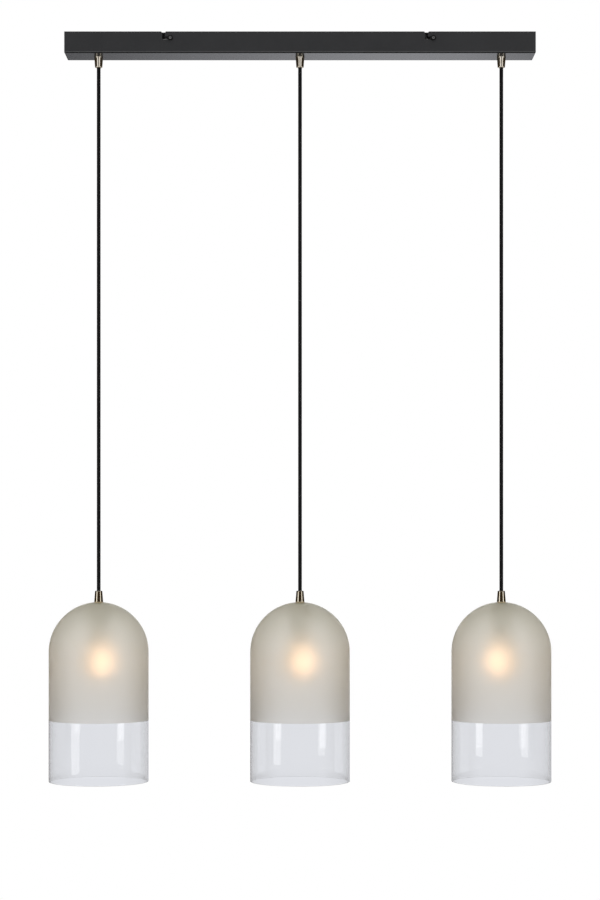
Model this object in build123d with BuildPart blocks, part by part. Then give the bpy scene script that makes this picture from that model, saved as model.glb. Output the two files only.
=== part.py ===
from build123d import *
import os
from math import acos, asin, atan2, cos, hypot, pi, sin, sqrt

# Pendant light: three glass shades hang on textile cords from one bar under the ceiling.
# Millimetres, +Z up. The origin is the middle of the ceiling bracket's upper face, in the ceiling plane.
# X runs along the bar and -Y is the side that faces the room.

# Ceiling bar, a folded steel tray that is open towards the ceiling
bar_length = 800.0
bar_depth = 60.0
bar_height = 36.2
bar_wall = 1.2
bar_inner_bend = 0.6
pendant_end_margin = 56.0
nipple_hole_clearance = 0.2

# Bayonet slots in the bar's long walls and the screws that they hook on
side_screw_spacing = 446.0
side_screw_shift = 3.0
side_screw_drop = 11.0
side_screw_radius = 2.0
side_screw_slot_clearance = 0.4
slot_run = 11.4
slot_mouth_width = 7.8
slot_mouth_depth = 2.4
screw_head_radius = 4.3
screw_head_height = 2.6
screw_head_gap = 0.2
screw_head_round = 1.1
screw_socket_width = 2.5
screw_socket_depth = 1.4
screw_proud = 1.5

# Ceiling bracket, a steel strip with four lugs bent down inside the bar
bracket_width = 44.0
bracket_thickness = 1.5
bracket_end_margin = 17.0
bracket_corner = 4.0
lug_width = 11.0
lug_margin = 7.0
lug_clearance = 0.4
tapped_clearance = 0.05
ceiling_slot_spacing = 300.0
ceiling_slot_length = 14.0
ceiling_slot_width = 5.2
mains_hole_radius = 9.0

# Cord and the conical grips at its two ends
cord_diameter = 6.4
cord_free_length = 893.8
cord_bore_clearance = 0.4
pivot_clearance = 0.3
cone_base_radius = 7.7
cone_tip_radius = 6.2
cone_length = 19.0
cone_tip_land = 0.4
cone_seat_length = 2.0
nipple_radius = 5.0
nipple_engagement = 8.0
nipple_proud = 1.2
collet_fit = 0.1
collet_grip_clearance = 0.05
collet_split = 1.0
washer_radius = 9.0
washer_thickness = 0.8
locknut_flats = 14.0
locknut_height = 3.0
jacket_stub = 1.5

# Glass shade: a dome on a straight wall, open below
shade_diameter = 170.0
shade_height = 306.0
shade_wall = 2.6
shade_hole_clearance = 0.4
seat_margin = 1.3
upper_gasket_thickness = 0.8
lower_gasket_thickness = 1.2
lower_gasket_radius = 9.5
gasket_inset = 0.3

# Lampholder
holder_cap_height = 20.0
holder_cap_wall = 2.2
holder_cap_roof = 3.0
holder_cap_round = 4.6
holder_collar_round = 0.7
holder_boss_radius = 8.0
holder_boss_height = 8.0
holder_boss_engagement = 7.0
holder_spigot_length = 6.0
holder_floor = 5.0
holder_wall = 3.0
holder_skirt_short = 1.5
sleeve_wall = 0.6
sleeve_length = 19.0
sleeve_fit = 0.1
contact_width = 6.0
contact_thickness = 0.5
contact_reach = 2.5
contact_foot_inset = 4.0
contact_pad_reach = 1.0

# Bulb with a screw cap
bulb_diameter = 60.0
bulb_length = 105.0
bulb_glass_wall = 0.8
bulb_neck_radius = 11.2
bulb_neck_overlap = 6.0
thread_radius = 13.07
thread_root_radius = 12.2
thread_pitch = 3.63
thread_turns = 5
thread_socket_clearance = 0.4
bulb_shell_bore = 11.6
bulb_shell_plain = 3.0
bulb_insulator_height = 3.4
bulb_tip_radius = 4.6
bulb_tip_height = 2.0
bulb_tip_round = 1.0
tip_gap = 0.3
stem_radius = 3.4
stem_flare = 1.6
filament_radius = 0.9
filament_length = 34.0
filament_circle = 8.0
filament_count = 4
filament_wire_radius = 0.55

# Wiring inside the bar
core_radius = 1.1
core_offset = 1.4
core_rise = 7.0
core_spread = 25.0
core_bend = 5.0
lane_gap = 3.2
lane_pitch = 2.7
terminal_pitch = 8.0
terminal_ways = 7
terminal_depth = 16.0
terminal_height = 20.0
terminal_entry_radius = 1.9
terminal_core_insertion = 5.0
terminal_end_wall = 1.5
terminal_foot_length = 9.0
terminal_foot_height = 3.0
terminal_screw_radius = 2.0
terminal_screw_height = 3.0
terminal_well_depth = 5.0
terminal_well_clearance = 0.2
terminal_screw_inset = 4.0
driver_slot_width = 0.8
driver_slot_depth = 1.0
stud_radius = 2.0
stud_nut_flats = 7.0
stud_nut_height = 3.2
stud_proud = 1.5
stud_clearance = 0.1
earth_stud_offset = 28.0
earth_ring_radius = 4.2
earth_ring_thickness = 0.8

# Heights and places that follow from those sizes
pendant_pitch = bar_length / 2 - pendant_end_margin
pendants = {"left": -pendant_pitch, "centre": 0.0, "right": pendant_pitch}
cord_radius = cord_diameter / 2
cord_bore = cord_radius + cord_bore_clearance
tapped_bore = nipple_radius + tapped_clearance
mouth_length = cord_radius + pivot_clearance + cord_bore_clearance
cone_tip_round = (cone_tip_radius - cord_bore - cone_tip_land) / 2
seat_start = cone_length - mouth_length - cone_seat_length
tail_reach = cone_length - cord_radius - pivot_clearance
bar_floor = -bar_height + bar_wall
upper_mouth = -bar_height - cone_length
lower_mouth = upper_mouth - cord_free_length
lower_base = lower_mouth - cone_length
nipple_top = bar_floor + washer_thickness + locknut_height + nipple_proud
jacket_top = nipple_top + jacket_stub
lane_height = jacket_top + core_rise

shade_seat = lower_base - upper_gasket_thickness
seat_radius = cone_base_radius + seat_margin
shade_radius = shade_diameter / 2
dome_centre = shade_seat - sqrt(shade_radius**2 - seat_radius**2)
inner_radius = shade_radius - shade_wall
inner_land_radius = lower_gasket_radius + gasket_inset
inner_land = dome_centre + sqrt(inner_radius**2 - inner_land_radius**2)
shade_rim = shade_seat - shade_height

sleeve_bore = thread_radius + thread_socket_clearance
socket_radius = sleeve_bore + sleeve_wall + sleeve_fit
skirt_radius = socket_radius + holder_wall
holder_cap_bore = skirt_radius + tapped_clearance
holder_cap_radius = holder_cap_bore + holder_cap_wall
holder_top = inner_land - lower_gasket_thickness
holder_joint = holder_top - holder_cap_height
spigot_top = holder_joint + holder_spigot_length
socket_roof = spigot_top - holder_floor
jacket_end = holder_top - holder_boss_height

bulb_top = socket_roof - contact_reach - tip_gap
insulator_top = bulb_top - bulb_tip_height
shell_top = insulator_top - bulb_insulator_height
shell_length = thread_turns * thread_pitch + bulb_shell_plain
shell_end = shell_top - shell_length
skirt_end = shell_end + holder_skirt_short
bulb_radius = bulb_diameter / 2
bulb_centre = bulb_top - bulb_length + bulb_radius
neck_top = shell_end + bulb_neck_overlap
stem_end = bulb_centre + filament_length / 2

side_screw_places = (side_screw_shift - side_screw_spacing / 2, side_screw_shift + side_screw_spacing / 2)
side_screw_seat = bar_depth / 2 + screw_head_gap
lug_face = bar_depth / 2 - bar_wall - lug_clearance
slot_width = 2 * (side_screw_radius + side_screw_slot_clearance)
terminal_x = pendant_pitch / 2
terminal_length = terminal_ways * terminal_pitch + 2 * terminal_end_wall
terminal_foot_x = terminal_length / 2 + terminal_foot_length / 2
earth_stud_x = terminal_x + terminal_length / 2 + terminal_foot_length + earth_stud_offset

os.makedirs("parts", exist_ok=True)


def upright(x, z=0.0):
    """Plane through a pendant's axis: sketch x is the radius and sketch y the height above z."""
    return Plane(origin=(x, 0, z), x_dir=(1, 0, 0), z_dir=(0, -1, 0))


def pendant_axis(x):
    return Axis((x, 0, 0), (0, 0, 1))


def save(piece, name):
    piece.part.label = name
    export_step(piece.part, f"parts/{name}.step")


def lane(number):
    """Y of a lane for the cores beside the terminal block, counted outwards from it."""
    return -(terminal_depth / 2 + lane_gap + number * lane_pitch)


def way_x(number):
    """X of one way of the terminal block."""
    return terminal_x + (number - (terminal_ways - 1) / 2) * terminal_pitch


def make_ceiling_bar():
    """Steel tray with welded studs, three cord holes and four L-shaped bayonet slots."""
    stud_places = [
        (terminal_x - terminal_foot_x, 0, terminal_foot_height),
        (terminal_x + terminal_foot_x, 0, terminal_foot_height),
        (earth_stud_x, lane(0), earth_ring_thickness),
    ]
    with BuildPart() as tray:
        with BuildSketch(Plane.XY.offset(-bar_height)):
            Rectangle(bar_length, bar_depth)
        extrude(amount=bar_height)
        folds = tray.edges().filter_by(Axis.Z) + tray.edges().group_by(Axis.Z)[0]
        fillet(folds, bar_inner_bend + bar_wall)
        with BuildSketch(Plane.XY.offset(bar_floor)):
            Rectangle(bar_length - 2 * bar_wall, bar_depth - 2 * bar_wall)
        pocket = extrude(amount=-bar_floor, mode=Mode.PRIVATE)
        pocket_folds = pocket.edges().filter_by(Axis.Z) + pocket.edges().group_by(Axis.Z)[0]
        add(pocket.fillet(bar_inner_bend, pocket_folds), mode=Mode.SUBTRACT)
        with BuildSketch(Plane.XY.offset(-bar_height)):
            with Locations(*[(x, 0) for x in pendants.values()]):
                Circle(nipple_radius + nipple_hole_clearance)
        extrude(amount=bar_wall, mode=Mode.SUBTRACT)
        with BuildSketch(Plane.XZ):
            for screw_x in side_screw_places:
                leg_x = screw_x - slot_run
                with Locations((screw_x - slot_run / 2, -side_screw_drop)):
                    SlotCenterToCenter(slot_run, slot_width)
                with Locations((leg_x, -side_screw_drop / 2)):
                    Rectangle(slot_width, side_screw_drop)
                with BuildLine():
                    Polyline(
                        (leg_x - slot_mouth_width / 2, 0),
                        (leg_x + slot_mouth_width / 2, 0),
                        (leg_x + slot_width / 2, -slot_mouth_depth),
                        (leg_x - slot_width / 2, -slot_mouth_depth),
                        close=True,
                    )
                make_face()
        extrude(amount=bar_depth, both=True, mode=Mode.SUBTRACT)
        for x, y, clamped in stud_places:
            with BuildSketch(Plane.XY.offset(bar_floor)):
                with Locations((x, y)):
                    Circle(stud_radius)
            extrude(amount=clamped + stud_nut_height + stud_proud)
    save(tray, "ceiling_bar")

    with BuildPart() as nuts:
        for x, y, clamped in stud_places:
            with BuildSketch(Plane.XY.offset(bar_floor + clamped)):
                with Locations((x, y)):
                    RegularPolygon(stud_nut_flats / 2, 6, major_radius=False)
                    Circle(stud_radius + stud_clearance, mode=Mode.SUBTRACT)
            extrude(amount=stud_nut_height)
    save(nuts, "stud_nuts")


def make_ceiling_bracket():
    """Strip screwed to the ceiling, with lugs that reach out to the bar's walls and bend down."""
    bracket_length = side_screw_spacing + 2 * bracket_end_margin
    with BuildPart() as bracket:
        with BuildSketch(Plane.XY.offset(-bracket_thickness)):
            RectangleRounded(bracket_length, bracket_width, bracket_corner)
            with Locations(*[(x, 0) for x in side_screw_places]):
                Rectangle(lug_width, 2 * lug_face)
            with GridLocations(ceiling_slot_spacing, 0, 2, 1):
                SlotOverall(ceiling_slot_length, ceiling_slot_width, mode=Mode.SUBTRACT)
            Circle(mains_hole_radius, mode=Mode.SUBTRACT)
        extrude(amount=bracket_thickness)
        with BuildSketch(Plane.XY):
            with Locations(*[(x, 0) for x in side_screw_places]):
                with GridLocations(0, 2 * lug_face - bracket_thickness, 1, 2):
                    Rectangle(lug_width, bracket_thickness)
        extrude(amount=-(side_screw_drop + lug_margin))
        ends = bracket.faces().filter_by(Axis.Y).sort_by(Axis.Y)
        outer_bends = (ends[:2] + ends[-2:]).edges().filter_by(Axis.X).group_by(Axis.Z)[-1]
        fillet(outer_bends, bracket_thickness)
        with BuildSketch(Plane.XZ):
            with Locations(*[(x, -side_screw_drop) for x in side_screw_places]):
                Circle(side_screw_radius + tapped_clearance)
        extrude(amount=bar_depth, both=True, mode=Mode.SUBTRACT)
    save(bracket, "ceiling_bracket")


def make_side_screws():
    """Four round-headed screws with a hexagon socket, whose shanks the bar's slots hang on."""
    shank = screw_head_gap + bar_wall + lug_clearance + bracket_thickness + screw_proud
    with BuildPart() as screws:
        for side in (-1, 1):
            for x in side_screw_places:
                seat = Plane(
                    origin=(x, side * side_screw_seat, -side_screw_drop),
                    x_dir=(1, 0, 0),
                    z_dir=(0, side, 0),
                )
                with BuildSketch(seat):
                    Circle(screw_head_radius)
                extrude(amount=screw_head_height)
                rim = screws.faces().filter_by(Axis.Y).sort_by(Axis.Y)[0 if side < 0 else -1]
                fillet(rim.edges(), screw_head_round)
                with BuildSketch(seat.offset(screw_head_height)):
                    RegularPolygon(screw_socket_width / 2, 6, major_radius=False)
                extrude(amount=-screw_socket_depth, mode=Mode.SUBTRACT)
                with BuildSketch(seat):
                    Circle(side_screw_radius)
                extrude(amount=-shank)
    save(screws, "side_screws")


def cone_section(x, base, up):
    """Half section of a conical grip from its wide end at height base towards its tip; up is 1 or -1."""
    with BuildSketch(upright(x, base)) as section:
        with BuildLine():
            Polyline(
                (tapped_bore, 0),
                (cone_base_radius, 0),
                (cone_tip_radius, up * cone_length),
                (cord_bore, up * cone_length),
                (cord_bore, up * (cone_length - mouth_length)),
                (tapped_bore, up * seat_start),
                close=True,
            )
        make_face()
    return section.sketch


def collet_section(x, base, up):
    """Half section of the nylon collet between the nipple's end and the cone's inner seat."""
    grip = cord_radius + collet_grip_clearance
    with BuildSketch(upright(x, base)) as section:
        with BuildLine():
            Polyline(
                (grip, up * nipple_engagement),
                (tapped_bore - collet_fit, up * nipple_engagement),
                (tapped_bore - collet_fit, up * (seat_start - collet_fit)),
                (cord_bore - collet_fit, up * (cone_length - mouth_length - collet_fit)),
                (grip, up * (cone_length - mouth_length - collet_fit)),
                close=True,
            )
        make_face()
    return section.sketch


def collet_slit(x, base):
    """Slit along the collet's back, so that it can close on the cord."""
    with BuildSketch(Plane.XY.offset(base - cone_length)) as slit:
        with Locations((x, nipple_radius)):
            Rectangle(collet_split, 2 * nipple_radius)
    return slit.sketch


def make_cone(x, base, up, name):
    with BuildPart() as cone:
        revolve(cone_section(x, base, up), axis=pendant_axis(x))
        tip = cone.edges().filter_by(GeomType.CIRCLE).group_by(Axis.Z)[-1 if up > 0 else 0]
        fillet(tip, cone_tip_round)
    save(cone, name)


def ring_section(outer, bore, x, height):
    """Flat ring about a pendant's axis."""
    with BuildSketch(Plane.XY.offset(height)) as ring:
        with Locations((x, 0)):
            Circle(outer)
            Circle(bore, mode=Mode.SUBTRACT)
    return ring.sketch


def make_upper_grips():
    """Cones under the bar, with the nipples, washers and nuts that hold them through its floor."""
    for side, x in pendants.items():
        make_cone(x, -bar_height, -1, f"upper_cone_{side}")

    with BuildPart() as collets:
        for x in pendants.values():
            revolve(collet_section(x, -bar_height, -1), axis=pendant_axis(x))
            extrude(collet_slit(x, -bar_height), amount=2 * cone_length, mode=Mode.SUBTRACT)
    save(collets, "upper_collets")

    with BuildPart() as nipples:
        for x in pendants.values():
            ring = ring_section(nipple_radius, cord_bore, x, -bar_height - nipple_engagement)
            extrude(ring, amount=nipple_top + bar_height + nipple_engagement)
    save(nipples, "upper_nipples")

    with BuildPart() as washers:
        for x in pendants.values():
            extrude(ring_section(washer_radius, tapped_bore, x, bar_floor), amount=washer_thickness)
    save(washers, "upper_washers")

    with BuildPart() as locknuts:
        for x in pendants.values():
            with BuildSketch(Plane.XY.offset(bar_floor + washer_thickness)):
                with Locations((x, 0)):
                    RegularPolygon(locknut_flats / 2, 6, major_radius=False)
                    Circle(tapped_bore, mode=Mode.SUBTRACT)
            extrude(amount=locknut_height)
    save(locknuts, "upper_locknuts")

    with BuildPart() as tails:
        for x in pendants.values():
            with BuildSketch(Plane.XY.offset(-bar_height - tail_reach)):
                with Locations((x, 0)):
                    Circle(cord_radius)
            extrude(amount=jacket_top + bar_height + tail_reach)
    save(tails, "cord_tails")


def make_cord(x, name):
    """Free stretch of one cord, with rounded ends about the two points where it flexes."""
    with BuildPart() as cord:
        with BuildSketch(upright(x)):
            with BuildLine():
                Line((0, lower_mouth - cord_radius), (0, upper_mouth + cord_radius))
                RadiusArc((0, upper_mouth + cord_radius), (cord_radius, upper_mouth), cord_radius)
                Line((cord_radius, upper_mouth), (cord_radius, lower_mouth))
                RadiusArc((cord_radius, lower_mouth), (0, lower_mouth - cord_radius), cord_radius)
            make_face()
        revolve(axis=pendant_axis(x))
    save(cord, name)


def make_lower_grip(x, side):
    """Cone on the shade with its collet, the nipple through the glass and the cord's clamped end."""
    make_cone(x, lower_base, 1, f"lower_cone_{side}")

    with BuildPart() as collet:
        revolve(collet_section(x, lower_base, 1), axis=pendant_axis(x))
        extrude(collet_slit(x, lower_base), amount=2 * cone_length, mode=Mode.SUBTRACT)
    save(collet, f"lower_collet_{side}")

    nipple_foot = holder_top - holder_boss_engagement
    with BuildPart() as nipple:
        ring = ring_section(nipple_radius, cord_bore, x, nipple_foot)
        extrude(ring, amount=lower_base + nipple_engagement - nipple_foot)
    save(nipple, f"lower_nipple_{side}")

    with BuildPart() as cord_end:
        with BuildSketch(Plane.XY.offset(jacket_end)):
            with Locations((x, 0)):
                Circle(cord_radius)
        extrude(amount=lower_base + tail_reach - jacket_end)
        with BuildSketch(Plane.XY.offset(spigot_top)):
            with Locations((x, core_offset), (x, -core_offset)):
                Circle(core_radius)
        extrude(amount=jacket_end - spigot_top)
    save(cord_end, f"cord_end_{side}")


def make_shade(x, side):
    """Glass dome and straight wall in one piece, a ground seat round its hole, and two gaskets."""
    hole = nipple_radius + shade_hole_clearance
    outer_turn = (asin(seat_radius / shade_radius) + pi / 2) / 2
    inner_turn = (asin(inner_land_radius / inner_radius) + pi / 2) / 2
    outer_middle = (shade_radius * sin(outer_turn), dome_centre + shade_radius * cos(outer_turn))
    inner_middle = (inner_radius * sin(inner_turn), dome_centre + inner_radius * cos(inner_turn))
    lip = shade_rim + shade_wall / 2
    rim_middle = (shade_radius - shade_wall / 2, shade_rim)
    with BuildPart() as shade:
        with BuildSketch(upright(x)):
            with BuildLine():
                Line((hole, shade_seat), (seat_radius, shade_seat))
                ThreePointArc((seat_radius, shade_seat), outer_middle, (shade_radius, dome_centre))
                Line((shade_radius, dome_centre), (shade_radius, lip))
                ThreePointArc((shade_radius, lip), rim_middle, (inner_radius, lip))
                Line((inner_radius, lip), (inner_radius, dome_centre))
                ThreePointArc((inner_radius, dome_centre), inner_middle, (inner_land_radius, inner_land))
                Line((inner_land_radius, inner_land), (hole, inner_land))
                Line((hole, inner_land), (hole, shade_seat))
            make_face()
        revolve(axis=pendant_axis(x))
    save(shade, f"glass_shade_{side}")

    with BuildPart() as gaskets:
        upper = ring_section(cone_base_radius - gasket_inset, tapped_bore, x, shade_seat)
        extrude(upper, amount=upper_gasket_thickness)
        lower = ring_section(lower_gasket_radius, tapped_bore, x, holder_top)
        extrude(lower, amount=lower_gasket_thickness)
    save(gaskets, f"shade_gaskets_{side}")


def make_holder(x, side):
    """Lampholder: threaded cap, body with its socket, and the brass sleeve and tongue inside."""
    roof = -holder_cap_roof
    boss = -holder_boss_height
    with BuildPart() as cap:
        with BuildSketch(upright(x, holder_top)):
            with BuildLine():
                Polyline(
                    (tapped_bore, 0),
                    (holder_cap_radius, 0),
                    (holder_cap_radius, -holder_cap_height),
                    (holder_cap_bore, -holder_cap_height),
                    (holder_cap_bore, roof),
                    (holder_boss_radius, roof),
                    (holder_boss_radius, boss),
                    (tapped_bore, boss),
                    close=True,
                )
            make_face()
        revolve(axis=pendant_axis(x))
        shoulder = cap.edges().filter_by(GeomType.CIRCLE).group_by(Axis.Z)[-1].sort_by(SortBy.RADIUS)[-1]
        fillet(shoulder, holder_cap_round)
    save(cap, f"holder_cap_{side}")

    with BuildPart() as body:
        with BuildSketch(Plane.XY.offset(socket_roof)):
            with Locations((x, 0)):
                Circle(skirt_radius)
        extrude(amount=holder_floor)
        extrude(ring_section(skirt_radius, socket_radius, x, skirt_end), amount=socket_roof - skirt_end)
        collar = ring_section(holder_cap_radius, skirt_radius, x, holder_joint - holder_cap_wall)
        extrude(collar, amount=holder_cap_wall)
        widest = body.edges().filter_by(GeomType.CIRCLE).group_by(SortBy.RADIUS)[-1]
        fillet(widest.sort_by(Axis.Z)[0], holder_collar_round)
    save(body, f"holder_body_{side}")

    tongue_drop = contact_reach - contact_thickness
    tongue_foot = socket_radius - contact_foot_inset
    with BuildPart() as contacts:
        with BuildSketch(upright(x, socket_roof)):
            with BuildLine():
                Polyline(
                    (tongue_foot, 0),
                    (contact_width, 0),
                    (contact_pad_reach, -tongue_drop),
                    (-contact_width / 2, -tongue_drop),
                    (-contact_width / 2, -contact_reach),
                    (contact_pad_reach, -contact_reach),
                    (contact_width, -contact_thickness),
                    (tongue_foot, -contact_thickness),
                    close=True,
                )
            make_face()
        extrude(amount=contact_width / 2, both=True)
        extrude(ring_section(sleeve_bore + sleeve_wall, sleeve_bore, x, skirt_end), amount=sleeve_length)
    save(contacts, f"holder_contacts_{side}")


def tangent_point(reach, height, radius):
    """Where a line from the point (reach, height) touches a circle of that radius about the origin."""
    turn = atan2(reach, height) + acos(radius / hypot(reach, height))
    return turn, (radius * sin(turn), radius * cos(turn))


def bulb_wall(radius, neck):
    """Points of one face of the bulb's glass, from its neck downwards, about the globe's centre."""
    collar = shell_end - bulb_centre
    turn, touch = tangent_point(neck, collar, radius)
    middle = (turn + pi) / 2
    arc_middle = (radius * sin(middle), radius * cos(middle))
    return (neck, neck_top - bulb_centre), (neck, collar), touch, arc_middle


def make_bulb(x, side):
    """Screw-cap bulb: contact tip, threaded shell with its insulator, glass with its stem, filaments."""
    with BuildPart() as tip:
        with BuildSketch(Plane.XY.offset(insulator_top)):
            with Locations((x, 0)):
                Circle(bulb_tip_radius)
        extrude(amount=bulb_tip_height)
        fillet(tip.edges().group_by(Axis.Z)[-1], bulb_tip_round)
    save(tip, f"bulb_tip_{side}")

    crest = [shell_top - (turn + 0.5) * thread_pitch for turn in range(thread_turns)]
    root = [shell_top - turn * thread_pitch for turn in range(thread_turns + 1)]
    with BuildPart() as cap:
        with BuildSketch(upright(x)):
            with BuildLine():
                for turn in range(thread_turns):
                    ThreePointArc(
                        (thread_root_radius, root[turn]),
                        (thread_radius, crest[turn]),
                        (thread_root_radius, root[turn + 1]),
                    )
                Polyline(
                    (thread_root_radius, root[-1]),
                    (thread_root_radius, shell_end),
                    (bulb_shell_bore, shell_end),
                    (bulb_shell_bore, shell_top),
                    (thread_root_radius, shell_top),
                )
            make_face()
        revolve(axis=pendant_axis(x))
        with BuildSketch(upright(x)):
            with BuildLine():
                Polyline(
                    (0, insulator_top),
                    (bulb_tip_radius, insulator_top),
                    (thread_root_radius, shell_top),
                    (0, shell_top),
                    close=True,
                )
            make_face()
        revolve(axis=pendant_axis(x))
    save(cap, f"bulb_cap_{side}")

    outer = bulb_wall(bulb_radius, bulb_neck_radius)
    inner = bulb_wall(bulb_radius - bulb_glass_wall, bulb_neck_radius - bulb_glass_wall)
    with BuildPart() as glass:
        with BuildSketch(upright(x, bulb_centre)):
            with BuildLine():
                Polyline(outer[0], outer[1], outer[2])
                ThreePointArc(outer[2], outer[3], (0, -bulb_radius))
                Line((0, -bulb_radius), (0, bulb_glass_wall - bulb_radius))
                ThreePointArc((0, bulb_glass_wall - bulb_radius), inner[3], inner[2])
                Polyline(inner[2], inner[1], inner[0], outer[0])
            make_face()
        revolve(axis=pendant_axis(x))
        with BuildSketch(Plane.XY.offset(neck_top)):
            with Locations((x, 0)):
                Circle(bulb_neck_radius)
        extrude(amount=stem_flare)
        with BuildSketch(Plane.XY.offset(stem_end)):
            with Locations((x, 0)):
                Circle(stem_radius)
        extrude(amount=neck_top - stem_end)
    save(glass, f"bulb_glass_{side}")

    with BuildPart() as filaments:
        foot = stem_end - filament_length
        with BuildSketch(Plane.XY.offset(foot)):
            with Locations((x, 0)):
                with PolarLocations(filament_circle, filament_count):
                    Circle(filament_radius)
                Circle(filament_wire_radius)
        extrude(amount=filament_length)
        for height in (stem_end - filament_wire_radius, foot + filament_wire_radius):
            with BuildSketch(upright(x, height)):
                Rectangle(2 * filament_circle, 2 * filament_wire_radius)
            extrude(amount=filament_wire_radius, both=True)
            with BuildSketch(Plane(origin=(x, 0, height), x_dir=(0, 1, 0), z_dir=(1, 0, 0))):
                Rectangle(2 * filament_circle, 2 * filament_wire_radius)
            extrude(amount=filament_wire_radius, both=True)
    save(filaments, f"bulb_filament_{side}")


def make_terminal_block():
    """Seven-way block on the bar's floor, with wire holes through its sides and two screws in each way."""
    block_top = bar_floor + terminal_height
    screw_y = terminal_depth / 2 - terminal_screw_inset
    with BuildPart() as block:
        with BuildSketch(Plane.XY.offset(bar_floor)):
            with Locations((terminal_x, 0)):
                Rectangle(terminal_length, terminal_depth)
        extrude(amount=terminal_height)
        with BuildSketch(Plane.XY.offset(bar_floor)):
            with Locations((terminal_x - terminal_foot_x, 0), (terminal_x + terminal_foot_x, 0)):
                Rectangle(terminal_foot_length, terminal_depth)
                Circle(stud_radius + stud_clearance, mode=Mode.SUBTRACT)
        extrude(amount=terminal_foot_height)
        with BuildSketch(Plane.XZ):
            with Locations(*[(way_x(way), lane_height) for way in range(terminal_ways)]):
                Circle(terminal_entry_radius)
        extrude(amount=terminal_depth, both=True, mode=Mode.SUBTRACT)
        with BuildSketch(Plane.XY.offset(block_top)):
            with Locations((terminal_x, 0)):
                with GridLocations(terminal_pitch, 2 * screw_y, terminal_ways, 2):
                    Circle(terminal_screw_radius + terminal_well_clearance)
        extrude(amount=-terminal_well_depth, mode=Mode.SUBTRACT)
    save(block, "terminal_block")

    with BuildPart() as screws:
        with BuildSketch(Plane.XY.offset(block_top - terminal_well_depth)):
            with Locations((terminal_x, 0)):
                with GridLocations(terminal_pitch, 2 * screw_y, terminal_ways, 2):
                    Circle(terminal_screw_radius)
        extrude(amount=terminal_screw_height)
        with BuildSketch(Plane.XY.offset(block_top - terminal_well_depth + terminal_screw_height)):
            with Locations((terminal_x, 0)):
                with GridLocations(terminal_pitch, 2 * screw_y, terminal_ways, 2):
                    Rectangle(driver_slot_width, 2 * terminal_screw_radius)
        extrude(amount=-driver_slot_depth, mode=Mode.SUBTRACT)
    save(screws, "terminal_screws")


def core_path(route, radii):
    """Straight runs joined by arcs."""
    with BuildLine() as path:
        FilletPolyline(*route, radius=radii)
    return path.line


def core_section(path):
    """Round section of a core, square to the start of its path."""
    with BuildSketch(path ^ 0) as section:
        Circle(core_radius)
    return section.sketch


def core_route(x, start_y, lane_number, way):
    """Route of one core from a cord's cut end, up and along its lane, into a way of the block."""
    towards = 1 if way_x(way) > x else -1
    entry = -terminal_depth / 2 + terminal_core_insertion
    return [
        (x, start_y, jacket_top),
        (x, start_y, lane_height),
        (x + towards * core_spread, lane(lane_number), lane_height),
        (way_x(way), lane(lane_number), lane_height),
        (way_x(way), entry, lane_height),
    ]


def make_wiring():
    """Live, neutral and earth leads from the three cords and the earth stud to the block."""
    live = [("centre", core_offset, 0, 0), ("left", core_offset, 2, 2), ("right", core_offset, 1, 5)]
    neutral = [("centre", -core_offset, 1, 1), ("left", -core_offset, 3, 3), ("right", -core_offset, 2, 4)]
    for name, leads in (("live_wires", live), ("neutral_wires", neutral)):
        with BuildPart() as wires:
            for side, start_y, lane_number, way in leads:
                route = core_route(pendants[side], start_y, lane_number, way)
                path = core_path(route, [core_bend, 2 * core_bend, core_bend])
                sweep(core_section(path), path=path)
        save(wires, name)

    crimp_x = earth_stud_x - earth_ring_radius
    crimp_height = bar_floor + core_radius
    earth_way = way_x(terminal_ways - 1)
    climb = lane_height - crimp_height
    bend_x = crimp_x - 2 * core_bend
    route = [
        (crimp_x, lane(0), crimp_height),
        (bend_x, lane(0), crimp_height),
        (bend_x - climb, lane(0), lane_height),
        (earth_way, lane(0), lane_height),
        (earth_way, -terminal_depth / 2 + terminal_core_insertion, lane_height),
    ]
    path = core_path(route, [core_bend, core_bend, core_bend])
    with BuildPart() as earth:
        with BuildSketch(Plane.XY.offset(bar_floor)):
            with Locations((earth_stud_x, lane(0))):
                Circle(earth_ring_radius)
                Circle(stud_radius + stud_clearance, mode=Mode.SUBTRACT)
        extrude(amount=earth_ring_thickness)
        sweep(core_section(path), path=path)
    save(earth, "earth_wire")


make_ceiling_bracket()
make_side_screws()
make_ceiling_bar()
make_upper_grips()
make_terminal_block()
make_wiring()
for pendant, pendant_x in pendants.items():
    make_cord(pendant_x, f"cord_{pendant}")
    make_lower_grip(pendant_x, pendant)
    make_shade(pendant_x, pendant)
    make_holder(pendant_x, pendant)
    make_bulb(pendant_x, pendant)
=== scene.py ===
import bmesh
import bpy
from math import acos, asin, atan2, cos, hypot, pi, radians, sin, sqrt
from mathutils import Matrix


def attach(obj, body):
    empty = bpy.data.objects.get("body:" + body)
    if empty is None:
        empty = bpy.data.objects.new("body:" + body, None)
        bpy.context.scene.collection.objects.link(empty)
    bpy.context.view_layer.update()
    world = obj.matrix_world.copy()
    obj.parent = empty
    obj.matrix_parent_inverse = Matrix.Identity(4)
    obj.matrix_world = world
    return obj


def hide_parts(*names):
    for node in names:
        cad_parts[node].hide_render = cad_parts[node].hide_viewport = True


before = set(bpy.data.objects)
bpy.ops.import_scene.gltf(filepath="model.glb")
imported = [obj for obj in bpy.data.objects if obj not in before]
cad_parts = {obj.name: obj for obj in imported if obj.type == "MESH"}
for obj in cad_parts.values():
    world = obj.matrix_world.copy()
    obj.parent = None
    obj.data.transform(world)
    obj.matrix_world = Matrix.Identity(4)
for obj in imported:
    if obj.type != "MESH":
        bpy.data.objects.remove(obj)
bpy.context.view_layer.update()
scene = bpy.context.scene

# The camera's place in metres, and the picture's height and the drop of its horizon in px
camera_distance = 3.845
camera_height = -0.8793
picture_height = 900
horizon_drop = 100

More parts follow.
